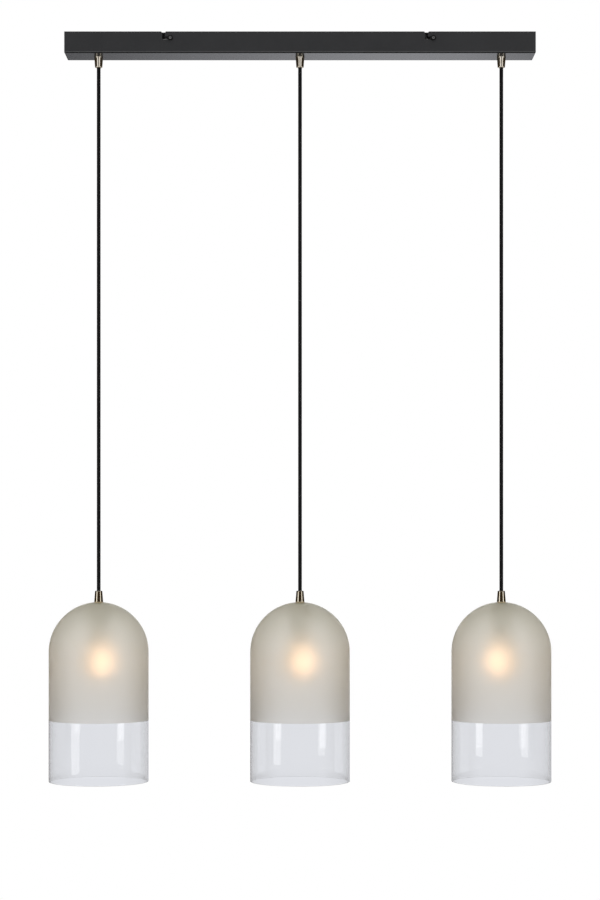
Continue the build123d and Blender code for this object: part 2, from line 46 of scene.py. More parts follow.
# Places and sizes of the light in metres, as its solids have them
pendant_pitch = 0.344
pendants = {"left": -pendant_pitch, "centre": 0.0, "right": pendant_pitch}
bar_bottom = -0.0362
bar_half_length = 0.400
bar_half_depth = 0.030
bar_wall = 0.0012
screw_spacing = 0.446
screw_shift = 0.003
screw_height = -0.011
upper_mouth = -0.0552
lower_mouth = -0.949
cord_radius = 0.0032
cord_bore = 0.0036
cone_length = 0.019
cone_base = 0.0077
cone_tip = 0.0062
cone_thread = 0.00505
cone_tip_round = 0.0011
cone_mouth_round = 0.0009
cone_mouth_depth = 0.0039
cone_seat_length = 0.002
lower_base = lower_mouth - cone_length
upper_gasket = 0.0008
shade_seat = lower_base - upper_gasket
shade_radius = 0.085
shade_wall = 0.0026
shade_hole = 0.0054
shade_height = 0.306
shade_rim = shade_seat - shade_height
seat_radius = 0.009
dome_centre = shade_seat - sqrt(shade_radius**2 - seat_radius**2)
inner_land_radius = 0.0098
bulb_radius = 0.030
bulb_centre = -1.06951
bulb_collar = -1.02106
bulb_neck = 0.0112
bulb_neck_overlap = 0.006
bulb_neck_top = bulb_collar + bulb_neck_overlap
bulb_wall = 0.0008
stem_radius = 0.0034
stem_flare = 0.0016
filament_half_length = 0.017
stem_end = bulb_centre + filament_half_length
insulator_top = -0.99651
insulator_height = 0.0034
shell_top = insulator_top - insulator_height
earth_crimp = 0.2343

# How meshes are made: the gap that is welded and the spacing of a cord's rings in metres, and the
# angles in radians over which an edge is sharp
weld_gap = 0.000002
turned_corner = 0.6
cord_corner = 0.9
cord_ring_spacing = 0.006
cord_sides = 24

white = (1.0, 1.0, 1.0)
black = (0.0, 0.0, 0.0)


# Camera

def make_camera():
    """Level camera in front of the light, with its lens shifted so that the horizon is below the middle."""
    lens = bpy.data.cameras.new("front_camera")
    lens.lens = 90.0
    lens.sensor_width = 36.0
    lens.shift_y = horizon_drop / picture_height
    lens.clip_end = 60.0
    camera = bpy.data.objects.new("front_camera", lens)
    camera.location = (0.0, -camera_distance, camera_height)
    camera.rotation_euler = (radians(90), 0, 0)
    scene.collection.objects.link(camera)
    scene.camera = camera


# Node helpers

def add(tree, kind, inputs=None, **settings):
    """One node with its settings; an input's value may be a number, a colour or another node's output."""
    node = tree.nodes.new(kind)
    for name, value in settings.items():
        setattr(node, name, value)
    for key, value in (inputs or {}).items():
        if isinstance(value, bpy.types.NodeSocket):
            tree.links.new(value, node.inputs[key])
        else:
            node.inputs[key].default_value = value
    return node


def math_of(tree, operation, *values):
    """Result of one Math node."""
    return add(tree, "ShaderNodeMath", dict(enumerate(values)), operation=operation).outputs[0]


def product_of(tree, first, *others):
    """Product of two or more values."""
    for other in others:
        first = math_of(tree, "MULTIPLY", first, other)
    return first


def gap_of(tree, value, middle=0.0):
    """How far a value is from a middle value, to either side."""
    return math_of(tree, "ABSOLUTE", math_of(tree, "SUBTRACT", value, middle))


def parts_of(tree, place):
    """The X, Y and Z outputs of a place."""
    return add(tree, "ShaderNodeSeparateXYZ", {0: place}).outputs


def length_of(tree, vector):
    """Length of a vector."""
    return add(tree, "ShaderNodeVectorMath", {0: vector}, operation="LENGTH").outputs["Value"]


def reach_of(tree, across, up):
    """Distance that two offsets at a right angle make together."""
    return length_of(tree, add(tree, "ShaderNodeCombineXYZ", {0: across, 1: up}).outputs[0])


def blend_of(tree, factor, first, second):
    """Colour between two colours."""
    node = tree.nodes.new("ShaderNodeMix")
    node.data_type = "RGBA"
    for socket, value in ((node.inputs[0], factor), (node.inputs[6], first), (node.inputs[7], second)):
        if isinstance(value, bpy.types.NodeSocket):
            tree.links.new(value, socket)
        else:
            socket.default_value = (*value, 1.0)
    return node.outputs[2]


def spread_of(tree, value, low, high, new_low=0.0, new_high=1.0, smooth=False):
    """A value's range stretched to another range."""
    places = {"Value": value, "From Min": low, "From Max": high, "To Min": new_low, "To Max": new_high}
    kind = "SMOOTHSTEP" if smooth else "LINEAR"
    return add(tree, "ShaderNodeMapRange", places, interpolation_type=kind).outputs[0]


def between(tree, factor, first, second):
    """Number between two numbers."""
    return spread_of(tree, factor, 0.0, 1.0, first, second)


def noise_of(tree, place, scale, detail):
    """Cloudy pattern from 0 to 1; scale is the number of clouds in a metre."""
    places = {"Vector": place, "Scale": scale, "Detail": detail, "Roughness": 0.55}
    return add(tree, "ShaderNodeTexNoise", places).outputs["Fac"]


def bump_of(tree, height, strength, distance, below=None):
    """Fine relief of a surface, laid over another relief if there is one below it."""
    places = {"Height": height, "Strength": strength, "Distance": distance}
    if below is not None:
        places["Normal"] = below
    return add(tree, "ShaderNodeBump", places).outputs[0]


def new_finish(name):
    """New material; gives back the material, its tree, its shader and its Object coordinates."""
    finish = bpy.data.materials.new(name)
    finish.use_nodes = True
    tree = finish.node_tree
    shader = tree.nodes["Principled BSDF"]
    place = tree.nodes.new("ShaderNodeTexCoord").outputs["Object"]
    return finish, tree, shader, place


def set_shader(tree, shader, **values):
    """Sets sockets of the shader by their names with _ for a space."""
    for name, value in values.items():
        socket = shader.inputs[name.replace("_", " ")]
        if isinstance(value, bpy.types.NodeSocket):
            tree.links.new(value, socket)
        elif isinstance(value, tuple):
            socket.default_value = (*value, 1.0)
        else:
            socket.default_value = value


# Finishes

def powder_coat(name, dark, light, roughness, grain, painted_light=None):
    """Satin powder coat with an orange-peel grain; the last argument, if given, is a function that paints
    highlight and shade on it in places.
    """
    finish, tree, shader, place = new_finish(name)
    clouds = noise_of(tree, place, 22.0, 4.0)
    peel = noise_of(tree, place, grain, 2.0)
    colour = blend_of(tree, spread_of(tree, clouds, 0.3, 0.7), dark, light)
    gloss = spread_of(tree, peel, 0.3, 0.7, roughness - 0.02, roughness + 0.02)
    # painted highlight and shade, where such a function is given
    if painted_light:
        colour, gloss = painted_light(tree, place, colour, gloss)
    set_shader(
        tree,
        shader,
        Base_Color=colour,
        Roughness=gloss,
        Normal=bump_of(tree, peel, 0.03, 0.00003),
    )
    return finish


def bar_painted_light(tree, place, colour, gloss):
    """The bar's painted highlight above its lower folds, and painted shade, made dull, on its folds and the
    cut edges of its walls.
    """
    highlight_height = bar_bottom + 0.0021
    fold_top = bar_bottom + 0.0014
    fold_blur = 0.0002
    skin = 0.00004
    ends = bar_half_length - 0.003
    parts = parts_of(tree, place)
    # painted highlight: a paler line along the bar just above its lower folds
    ridge_highlight = spread_of(tree, gap_of(tree, parts["Z"], highlight_height), 0.0005, 0.0008, 1.0, 0.0)
    inwards = math_of(tree, "SUBTRACT", bar_half_depth, gap_of(tree, parts["Y"]))
    low = spread_of(tree, parts["Z"], fold_top - fold_blur, fold_top, 1.0, 0.0)
    outer = spread_of(tree, inwards, 0.0027, 0.0032, 1.0, 0.0)
    fold_shade = product_of(tree, low, outer)
    under_skin = spread_of(tree, inwards, skin, 2.5 * skin)
    before_inside = spread_of(tree, inwards, bar_wall - 2 * skin, bar_wall - skin, 1.0, 0.0)
    off_ends = spread_of(tree, gap_of(tree, parts["X"]), ends - 0.001, ends, 1.0, 0.0)
    above_fold = math_of(tree, "SUBTRACT", 1.0, low)
    cut_edge_shade = product_of(tree, under_skin, before_inside, off_ends, above_fold)
    # painted shade: the lower folds and the cut edges of the walls are darker and dull
    fold_and_cut_shade = math_of(tree, "MAXIMUM", cut_edge_shade, fold_shade)
    highlighted = blend_of(tree, ridge_highlight, colour, (0.082, 0.083, 0.086))
    return blend_of(tree, fold_and_cut_shade, highlighted, (0.006, 0.0065, 0.008)), between(tree, fold_and_cut_shade, gloss, 0.9)


def screw_steel_with_painted_light():
    """Blackened screws, with painted shade as a dull black ring round their heads and a painted highlight, a
    paler colour, on their faces.
    """
    finish, tree, shader, place = new_finish("blackened_steel")
    parts = parts_of(tree, place)
    across = math_of(tree, "SUBTRACT", gap_of(tree, parts["X"], screw_shift), screw_spacing / 2)
    up = math_of(tree, "SUBTRACT", parts["Z"], screw_height)
    # painted shade: a dull black ring round each screw head
    rim = spread_of(tree, reach_of(tree, across, up), 0.0019, 0.0025)
    # painted highlight: the faces of the heads paler, with a random tone
    face_highlight = blend_of(tree, noise_of(tree, place, 2200.0, 2.0), (0.13, 0.13, 0.133), (0.19, 0.19, 0.194))
    set_shader(
        tree,
        shader,
        Base_Color=blend_of(tree, rim, face_highlight, (0.003, 0.003, 0.0035)),
        Roughness=between(tree, rim, 0.35, 0.9),
        Normal=bump_of(tree, noise_of(tree, place, 1400.0, 2.0), 0.03, 0.00003),
    )
    return finish


def plated_metal(name, dark, light, roughness, grain, lathe_lines=0.0):
    """Metal with faint cloudy tarnish and, if it is turned, a number of lathe lines in a metre of height."""
    finish, tree, shader, place = new_finish(name)
    clouds = noise_of(tree, place, grain, 4.0)
    fine = noise_of(tree, place, 9 * grain, 2.0)
    relief = bump_of(tree, fine, 0.03, 0.00002)
    if lathe_lines:
        height = parts_of(tree, place)["Z"]
        lines = math_of(tree, "SINE", product_of(tree, height, 2 * pi * lathe_lines))
        relief = bump_of(tree, lines, 0.03, 0.00002, relief)
    set_shader(
        tree,
        shader,
        Base_Color=blend_of(tree, spread_of(tree, clouds, 0.35, 0.7), light, dark),
        Metallic=1.0,
        Roughness=spread_of(tree, clouds, 0.3, 0.75, 0.75 * roughness, 1.4 * roughness),
        Normal=relief,
    )
    return finish


def moulded(name, dark, light, roughness):
    """Moulded plastic or rubber with a faint grain."""
    finish, tree, shader, place = new_finish(name)
    clouds = noise_of(tree, place, 60.0, 3.0)
    fine = noise_of(tree, place, 900.0, 2.0)
    set_shader(
        tree,
        shader,
        Base_Color=blend_of(tree, spread_of(tree, clouds, 0.3, 0.7), dark, light),
        Roughness=spread_of(tree, fine, 0.3, 0.7, roughness - 0.05, roughness + 0.05),
        Normal=bump_of(tree, fine, 0.08, 0.00004),
    )
    return finish


def crest_of(tree, strands):
    """Height across the strands of a braid: 0 at the edges of each and 1 along its middle."""
    return gap_of(tree, math_of(tree, "SINE", product_of(tree, strands, pi)))


def braided_textile():
    """Black textile braid: two sets of strands over and under each other on the tube's UV map; painted shade
    where they dip.
    """
    finish, tree, shader, place = new_finish("black_braid")
    strands_around = 12
    strand_width = 2 * pi * cord_radius / strands_around
    laid_out = parts_of(tree, add(tree, "ShaderNodeUVMap", uv_map="UVMap").outputs[0])
    around = product_of(tree, laid_out["X"], float(strands_around))
    along = math_of(tree, "DIVIDE", laid_out["Y"], strand_width)
    one = math_of(tree, "ADD", around, along)
    two = math_of(tree, "SUBTRACT", around, along)
    crossing = math_of(tree, "ADD", math_of(tree, "FLOOR", one), math_of(tree, "FLOOR", two))
    on_top = math_of(tree, "FLOORED_MODULO", crossing, 2.0)
    under = math_of(tree, "SUBTRACT", 1.0, on_top)
    height_one = product_of(tree, crest_of(tree, one), on_top)
    height_two = product_of(tree, crest_of(tree, two), under)
    threads = noise_of(tree, place, 4200.0, 2.0)
    relief = math_of(tree, "MULTIPLY_ADD", threads, 0.35, math_of(tree, "ADD", height_one, height_two))
    # painted shade: darker where the strands dip, with a random tone of the threads
    groove_shade_and_tone = spread_of(tree, relief, 0.1, 1.2)
    set_shader(
        tree,
        shader,
        Base_Color=blend_of(tree, groove_shade_and_tone, (0.0025, 0.0025, 0.003), (0.011, 0.0105, 0.011)),
        Roughness=0.85,
        Specular_IOR_Level=0.2,
        Sheen_Weight=0.06,
        Sheen_Roughness=0.4,
        Normal=bump_of(tree, relief, 0.55, 0.00022),
    )
    return finish


def shade_glass():
    """Glass that absorbs a little: satin-etched above the frost edge, clear below it, ground on its rim; a
    painted glow on the etched part.
    """
    finish, tree, shader, place = new_finish("shade_glass")
    frost_edge = -1.170
    edge_blur = 0.0002
    glow_low = -1.165
    glow_high = -1.075
    height = parts_of(tree, place)["Z"]
    etched = spread_of(tree, height, frost_edge - edge_blur, frost_edge + edge_blur)
    domed = spread_of(tree, height, dome_centre - 0.01, dome_centre + 0.06)
    ground = spread_of(tree, height, shade_rim + 0.0007, shade_rim + 0.001, 1.0, 0.0)
    # painted glow: the etched part glows warm between two heights, for the bulb's light scattered in it
    painted_glow = spread_of(tree, height, glow_low, glow_high, 0.014, 0.032)
    grain = noise_of(tree, place, 2600.0, 2.0)
    clouds = noise_of(tree, place, 30.0, 3.0)
    etched_roughness = spread_of(tree, clouds, 0.3, 0.7, 0.44, 0.48)
    colour = blend_of(tree, etched, (0.982, 0.986, 0.991), (0.930, 0.926, 0.908))
    set_shader(
        tree,
        shader,
        Base_Color=blend_of(tree, ground, colour, (0.77, 0.785, 0.79)),
        Roughness=math_of(tree, "MULTIPLY_ADD", ground, 0.2, product_of(tree, etched_roughness, etched)),
        IOR=1.5,
        Transmission_Weight=between(tree, etched, 1.0, 0.95),
        Normal=bump_of(tree, product_of(tree, grain, etched), 0.1, 0.00002),
        # painted glow of the bulb's light on the etched glass
        Emission_Color=blend_of(tree, domed, (1.0, 0.70, 0.24), (1.0, 0.88, 0.36)),
        Emission_Strength=product_of(tree, etched, painted_glow),
    )
    absorbed = {"Color": (0.838, 0.826, 0.805, 1.0), "Density": 140.0}
    depth = add(tree, "ShaderNodeVolumeAbsorption", absorbed)
    tree.links.new(depth.outputs[0], tree.nodes["Material Output"].inputs["Volume"])
    return finish


def beside_axis(tree, across):
    """How far a place in a bulb is to its brighter side: the right, and in the right-hand bulb the left."""
    half_way = pendant_pitch / 2
    change = 0.01
    from_axis = math_of(tree, "WRAP", across, half_way, -half_way)
    hand = spread_of(tree, across, half_way - change, half_way + change, 1.0, -1.0)
    return product_of(tree, from_axis, hand)


def bulb_glass():
    """Pearl glass of a bulb: it glows softly round one place, and the filaments show as a blur in it."""
    finish, tree, shader, place = new_finish("bulb_glass")
    glow_aside = 0.012
    glow_reach = 0.050
    parts = parts_of(tree, place)
    aside = math_of(tree, "SUBTRACT", beside_axis(tree, parts["X"]), glow_aside)
    up = math_of(tree, "SUBTRACT", parts["Z"], bulb_centre)
    haze = noise_of(tree, place, 140.0, 3.0)
    set_shader(
        tree,
        shader,
        Base_Color=blend_of(tree, haze, (0.97, 0.96, 0.93), (0.99, 0.985, 0.97)),
        Roughness=spread_of(tree, haze, 0.3, 0.7, 0.62, 0.66),
        IOR=1.5,
        Transmission_Weight=1.0,
        Normal=bump_of(tree, haze, 0.03, 0.0001),
        Emission_Color=(1.0, 0.66, 0.42),
        Emission_Strength=spread_of(tree, reach_of(tree, aside, up), 0.0, glow_reach, 0.23, 0.0, smooth=True),
    )
    return finish


def lit_filament():
    """Filaments that glow more on the bulb's brighter side."""
    finish, tree, shader, place = new_finish("lit_filament")
    near = 0.001
    far = 0.007
    aside = beside_axis(tree, parts_of(tree, place)["X"])
    dimmer = spread_of(tree, aside, -far, -near, 0.5, 2.2)
    brighter = spread_of(tree, aside, near, far, 0.0, 4.8)
    grain = noise_of(tree, place, 1500.0, 2.0)
    set_shader(
        tree,
        shader,
        Base_Color=blend_of(tree, grain, (0.9, 0.62, 0.25), (0.95, 0.74, 0.36)),
        Emission_Color=(1.0, 0.64, 0.43),
        Emission_Strength=math_of(tree, "ADD", dimmer, brighter),
    )
    return finish


def two_finishes(name, axis, edge, before, after):
    """Two finishes of one piece that meet at a place along an axis; each is colour, metal, roughness."""
    finish, tree, shader, place = new_finish(name)
    blur = 0.00005
    past = spread_of(tree, parts_of(tree, place)[axis], edge - blur, edge + blur)
    clouds = noise_of(tree, place, 300.0, 3.0)
    first, second = (
        blend_of(tree, clouds, colour, tuple(0.8 * part for part in colour))
        for colour in (before[0], after[0])
    )
    set_shader(
        tree,
        shader,
        Base_Color=blend_of(tree, past, first, second),
        Metallic=between(tree, past, before[1], after[1]),
        Roughness=between(tree, past, before[2], after[2]),
        Normal=bump_of(tree, clouds, 0.05, 0.00003),
    )
    return finish


# Geometry of turned pieces and cords

def new_shape_tree(name, sockets):
    """Empty geometry group; gives back the group, its inputs and the input of its end node."""
    tree = bpy.data.node_groups.new(name, "GeometryNodeTree")
    tree.is_modifier = True
    for title, kind in sockets:
        tree.interface.new_socket(title, in_out="INPUT", socket_type=kind)
    tree.interface.new_socket("Piece", in_out="OUTPUT", socket_type="NodeSocketGeometry")
    return tree, tree.nodes.new("NodeGroupInput").outputs, tree.nodes.new("NodeGroupOutput").inputs[0]


def map_shape(tree, mesh, value):
    """Stores a mesh's UV map."""
    mapped = add(
        tree,
        "GeometryNodeStoreNamedAttribute",
        {"Geometry": mesh, "Name": "UVMap", "Value": value},
        data_type="FLOAT2",
        domain="CORNER",
    )
    return mapped.outputs[0]


def end_shape(tree, mesh, corner, material, out):
    """Welds a mesh, makes its faces smooth with sharp corners, and gives it its material."""
    closed = add(tree, "GeometryNodeMergeByDistance", {"Geometry": mesh, "Distance": weld_gap})
    faces = add(
        tree,
        "GeometryNodeSetShadeSmooth",
        {"Geometry": closed.outputs[0], "Shade Smooth": True},
        domain="FACE",
    )
    angle = tree.nodes.new("GeometryNodeInputMeshEdgeAngle").outputs["Unsigned Angle"]
    sharp = add(
        tree,
        "FunctionNodeCompare",
        {0: angle, 1: corner},
        data_type="FLOAT",
        operation="GREATER_THAN",
    )
    edges = add(
        tree,
        "GeometryNodeSetShadeSmooth",
        {"Geometry": faces.outputs[0], "Selection": sharp.outputs[0], "Shade Smooth": False},
        domain="EDGE",
    )
    whole = add(tree, "GeometryNodeRealizeInstances", {"Geometry": edges.outputs[0]})
    done = add(tree, "GeometryNodeSetMaterial", {"Geometry": whole.outputs[0], "Material": material})
    tree.links.new(done.outputs[0], out)


def whole_number(tree, operation, first, second):
    """Result of one Integer Math node."""
    return add(tree, "FunctionNodeIntegerMath", {0: first, 1: second}, operation=operation).outputs[0]


def turning_tree():
    """Turns a half section, a chain of points at (radius, 0, height), about an upright axis."""
    tree, given, out = new_shape_tree(
        "turned_section",
        [
            ("Section", "NodeSocketGeometry"),
            ("Steps round", "NodeSocketInt"),
            ("Axis place", "NodeSocketVector"),
            ("Corner angle", "NodeSocketFloat"),
            ("Finish", "NodeSocketMaterial"),
        ],
    )
    section = given["Section"]
    steps = given["Steps round"]
    size = add(tree, "GeometryNodeAttributeDomainSize", {0: section}, component="MESH")
    count = size.outputs["Point Count"]
    columns = whole_number(tree, "ADD", steps, 1)
    grid = add(tree, "GeometryNodeMeshGrid", {"Vertices X": columns, "Vertices Y": count})
    index = tree.nodes.new("GeometryNodeInputIndex").outputs[0]
    column = whole_number(tree, "DIVIDE_FLOOR", index, count)
    row = whole_number(tree, "MODULO", index, count)
    point = add(
        tree,
        "GeometryNodeSampleIndex",
        {"Geometry": section, "Index": row},
        data_type="FLOAT_VECTOR",
        domain="POINT",
    )
    tree.links.new(tree.nodes.new("GeometryNodeInputPosition").outputs[0], point.inputs["Value"])
    angle = product_of(tree, math_of(tree, "DIVIDE", column, steps), 2 * pi)
    swung = add(
        tree,
        "ShaderNodeVectorRotate",
        {"Vector": point.outputs[0], "Angle": angle},
        rotation_type="Z_AXIS",
    )
    place = add(
        tree,
        "ShaderNodeVectorMath",
        {0: swung.outputs[0], 1: given["Axis place"]},
        operation="ADD",
    )
    mapped = map_shape(tree, grid.outputs["Mesh"], grid.outputs["UV Map"])
    shaped = add(tree, "GeometryNodeSetPosition", {"Geometry": mapped, "Position": place.outputs[0]})
    end_shape(tree, shaped.outputs[0], given["Corner angle"], given["Finish"], out)
    return tree


def kept_on(tree, curve, name, value):
    """Keeps a value on a curve's points; gives back the curve and the kept value."""
    keeper = tree.nodes.new("GeometryNodeCaptureAttribute")
    keeper.domain = "POINT"
    keeper.capture_items.new("FLOAT", name)
    tree.links.new(curve, keeper.inputs["Geometry"])
    tree.links.new(value, keeper.inputs[name])
    return keeper.outputs["Geometry"], keeper.outputs[name]


def cord_tree():
    """Round cover along a cord's line, with a UV map: once round, and metres along."""
    tree, given, out = new_shape_tree(
        "cord_cover",
        [
            ("Line", "NodeSocketGeometry"),
            ("Radius", "NodeSocketFloat"),
            ("Ring spacing", "NodeSocketFloat"),
            ("Sides", "NodeSocketInt"),
            ("Finish", "NodeSocketMaterial"),
        ],
    )
    line = add(tree, "GeometryNodeMeshToCurve", {"Mesh": given["Line"]})
    spaced = add(
        tree,
        "GeometryNodeResampleCurve",
        {"Curve": line.outputs[0], "Length": given["Ring spacing"]},
        mode="LENGTH",
    )
    ring = add(
        tree,
        "GeometryNodeCurveArc",
        {
            "Resolution": whole_number(tree, "ADD", given["Sides"], 1),
            "Radius": given["Radius"],
            "Start Angle": 0.0,
            "Sweep Angle": 2 * pi,
        },
        mode="RADIUS",
    )
    measure = tree.nodes.new("GeometryNodeSplineParameter").outputs
    path, along = kept_on(tree, spaced.outputs[0], "Along", measure["Length"])
    profile, around = kept_on(tree, ring.outputs["Curve"], "Around", measure["Factor"])
    tube = add(
        tree,
        "GeometryNodeCurveToMesh",
        {"Curve": path, "Profile Curve": profile, "Fill Caps": False},
    )
    mapping = add(tree, "ShaderNodeCombineXYZ", {0: around, 1: along})
    mapped = map_shape(tree, tube.outputs[0], mapping.outputs[0])
    end_shape(tree, mapped, cord_corner, given["Finish"], out)
    return tree


def final_mesh(piece):
    """Mesh of an object as its modifiers or its curve make it."""
    return bpy.data.meshes.new_from_object(piece.evaluated_get(bpy.context.evaluated_depsgraph_get()))


def section_mesh(name, section):
    """Points (radius, height) of a half section, joined in a row."""
    mesh = bpy.data.meshes.new(name)
    points = [(r, 0.0, z) for r, z in section]
    mesh.from_pydata(points, [(n, n + 1) for n in range(len(points) - 1)], [])
    return mesh


def grown(name, start, tree, values):
    """Object of the mesh that a geometry group makes from a starting mesh, with no modifier left on it."""
    piece = bpy.data.objects.new(name, start)
    scene.collection.objects.link(piece)
    modifier = piece.modifiers.new("shape", "NODES")
    modifier.node_group = tree
    for item in tree.interface.items_tree:
        if item.name in values:
            modifier[item.identifier] = values[item.name]
    result = final_mesh(piece)
    piece.modifiers.clear()
    piece.data = result
    bpy.data.meshes.remove(start)
    result.name = name
    return piece


def face_outwards(piece):
    """Turns the faces of a closed piece outwards."""
    work = bmesh.new()
    work.from_mesh(piece.data)
    bmesh.ops.recalc_face_normals(work, faces=work.faces)
    work.to_mesh(piece.data)
    work.free()


def join_into(piece, other):
    """Adds another object's mesh to a piece and removes that object."""
    work = bmesh.new()
    work.from_mesh(piece.data)
    work.from_mesh(other.data)
    work.to_mesh(piece.data)
    work.free()
    bpy.data.objects.remove(other)


def arc(centre, radius, start, end, count):
    """Points (radius, height) of an arc in the half section; angles run from straight up, outwards."""
    x, z = centre
    turns = [start + (end - start) * n / count for n in range(count + 1)]
    return [(x + radius * sin(turn), z + radius * cos(turn)) for turn in turns]


def turned(name, body, node, section, x, finish, steps=96, hollow=None):
    """Turned piece that stands for a solid on its body; hollow is the section of a closed space in it."""
    values = {
        "Steps round": steps,
        "Axis place": (x, 0.0, 0.0),
        "Corner angle": turned_corner,
        "Finish": finish,
    }
    piece = grown(name, section_mesh(name, section), tree_of_turning, values)
    face_outwards(piece)
    if hollow:
        space = grown(f"{name}_space", section_mesh(name, hollow), tree_of_turning, values)
        face_outwards(space)
        space.data.flip_normals()
        join_into(piece, space)
    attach(piece, body)
    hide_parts(node)


# Pieces

def make_cord(side, x, finish):
    """Taut cord from the upper grip to the lower one; the line has a point six diameters from each grip."""
    lead = 12 * cord_radius
    heights = (upper_mouth, upper_mouth - lead, lower_mouth + lead, lower_mouth)
    line = bpy.data.curves.new(f"cord_line_{side}", "CURVE")
    line.dimensions = "3D"
    spline = line.splines.new("NURBS")
    spline.points.add(len(heights) - 1)
    for point, z in zip(spline.points, heights):
        point.co = (x, 0.0, z, 1.0)
    spline.order_u = 3
    spline.use_endpoint_u = True
    holder = bpy.data.objects.new(f"cord_line_{side}", line)
    scene.collection.objects.link(holder)
    start = final_mesh(holder)
    bpy.data.objects.remove(holder)
    bpy.data.curves.remove(line)
    values = {
        "Radius": cord_radius,
        "Ring spacing": cord_ring_spacing,
        "Sides": cord_sides,
        "Finish": finish,
    }
    cord = grown(f"braided_cord_{side}", start, tree_of_cords, values)
    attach(cord, f"hanging_cord_{side}")
    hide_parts(f"cord_{side}")


def cone_points(base, up):
    """Closed half section of a cord grip from its wide end; up is 1 or -1."""
    edge = 0.0003
    lip = cone_tip_round
    lip_start = cone_length - lip
    slope = (cone_base - cone_tip) / cone_length
    shoulder = cone_tip + slope * lip
    mouth = cone_length - cone_mouth_depth
    mouth_lip = (cord_bore + cone_mouth_round, cone_length - cone_mouth_round)
    straight = (edge, 1.5 * edge, 2 * edge, cone_length / 2, lip_start - edge, lip_start)
    section = [(cone_thread, 0.0), (cone_base - edge, 0.0), (cone_base - 0.3 * edge, 0.3 * edge)]
    section += [(cone_base - slope * z, z) for z in straight]
    section += arc((shoulder - lip, lip_start), lip, pi / 2, 0.0, 8)[1:]
    section += arc(mouth_lip, cone_mouth_round, 0.0, -pi / 2, 6)
    section += [(cord_bore, mouth), (cone_thread, mouth - cone_seat_length), (cone_thread, 0.0)]
    return [(r, base + up * z) for r, z in section]


def shade_points():
    """Closed half section of the glass: hole, dome, straight wall and rounded rim."""
    near_lip = 0.0002
    inner_radius = shade_radius - shade_wall
    inner_land = dome_centre + sqrt(inner_radius**2 - inner_land_radius**2)
    lip = shade_rim + shade_wall / 2
    outer = arc((0.0, dome_centre), shade_radius, asin(seat_radius / shade_radius), pi / 2, 40)
    inner = arc((0.0, dome_centre), inner_radius, pi / 2, asin(inner_land_radius / inner_radius), 40)
    rim = arc((shade_radius - shade_wall / 2, lip), shade_wall / 2, pi / 2, 1.5 * pi, 16)
    heights = [dome_centre + (lip - dome_centre) * n / 24 for n in range(1, 24)]
    heights += [lip + 2 * near_lip, lip + near_lip]
    outer_wall = [(shade_radius, z) for z in heights]
    inner_wall = [(inner_radius, z) for z in reversed(heights)]
    hole = [(shade_hole, inner_land), (shade_hole, shade_seat)]
    return [(shade_hole, shade_seat), *outer, *outer_wall, *rim, *inner_wall, *inner, *hole]


def bulb_wall_points(radius, neck):
    """One face of the bulb's glass, from its neck to its lowest point."""
    collar = bulb_collar - bulb_centre
    turn = atan2(neck, collar) + acos(radius / hypot(neck, collar))
    globe = arc((0.0, bulb_centre), radius, turn, pi, 40)
    return [(neck, bulb_neck_top), (neck, bulb_collar), *globe[:-1], (0.0, bulb_centre - radius)]


def bulb_points():
    """Half sections of the bulb's glass: the outside with the flare at its neck, and the space inside."""
    foot_edge = 0.001
    flare = bulb_neck_top + stem_flare
    outer = bulb_wall_points(bulb_radius, bulb_neck)
    inner = bulb_wall_points(bulb_radius - bulb_wall, bulb_neck - bulb_wall)
    stem = [
        (stem_radius, bulb_neck_top),
        (stem_radius, stem_end + foot_edge),
        (stem_radius - foot_edge, stem_end),
        (0.0, stem_end),
    ]
    return [(0.0, flare), (bulb_neck, flare), *outer], [*inner[::-1], *stem]


def dress_nodes(finishes):
    """Gives every solid that still shows its own finish."""
    for name, finish in finishes.items():
        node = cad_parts[name]
        if not node.material_slots:
            node.data.materials.append(finish)
        for place in node.material_slots:
            place.material = finish


# Studio

def mirrored_studio(tree, parts):
    """Strength and colour of what metal mirrors: a panel behind, two bands in front, and dark elsewhere."""
    band_height = 0.03
    low_band_height = -0.09
    dark = 0.02
    cool_white = (0.96, 0.97, 1.03)
    warm_dark = (1.5, 1.0, 0.45)
    behind = spread_of(tree, parts["Y"], 0.72, 0.95, smooth=True)
    leftwards = spread_of(tree, parts["X"], -0.14, 0.035, 0.08, 0.86)
    rightwards = spread_of(tree, parts["X"], 0.07, 0.115, 1.0, 0.45)
    panel = product_of(tree, behind, leftwards, rightwards)
    before = spread_of(tree, parts["Y"], -0.78, -0.70, 1.0, 0.0, smooth=True)
    level = spread_of(tree, gap_of(tree, parts["Z"], band_height), 0.03, 0.06, 1.0, 0.0, smooth=True)
    aside = spread_of(tree, gap_of(tree, parts["X"]), 0.18, 0.30, 0.16, 1.05, smooth=True)
    band = product_of(tree, before, level, aside)
    low_before = spread_of(tree, parts["Y"], -0.6, -0.1, 1.0, 0.0, smooth=True)
    low_level = spread_of(tree, gap_of(tree, parts["Z"], low_band_height), 0.03, 0.05, 0.5, 0.0, smooth=True)
    low_band = product_of(tree, low_before, low_level)
    strips = math_of(tree, "MAXIMUM", panel, math_of(tree, "MAXIMUM", band, low_band))
    dim = spread_of(tree, strips, 0.0, 0.1, 1.0, 0.0)
    return math_of(tree, "ADD", strips, dark), blend_of(tree, dim, cool_white, warm_dark)


def refracted_studio(tree, parts):
    """Strength of what glass lets through: dimmer overhead, and in two steps below the horizon."""
    overhead = spread_of(tree, parts["Z"], 0.15, 0.75, 1.0, 0.58, smooth=True)
    lower = spread_of(tree, parts["Z"], -0.075, -0.03, 0.91, 1.0, smooth=True)
    lowest = spread_of(tree, parts["Z"], -0.101, -0.0945, 0.85, 1.0)
    return math_of(tree, "MINIMUM", overhead, math_of(tree, "MINIMUM", lower, lowest))


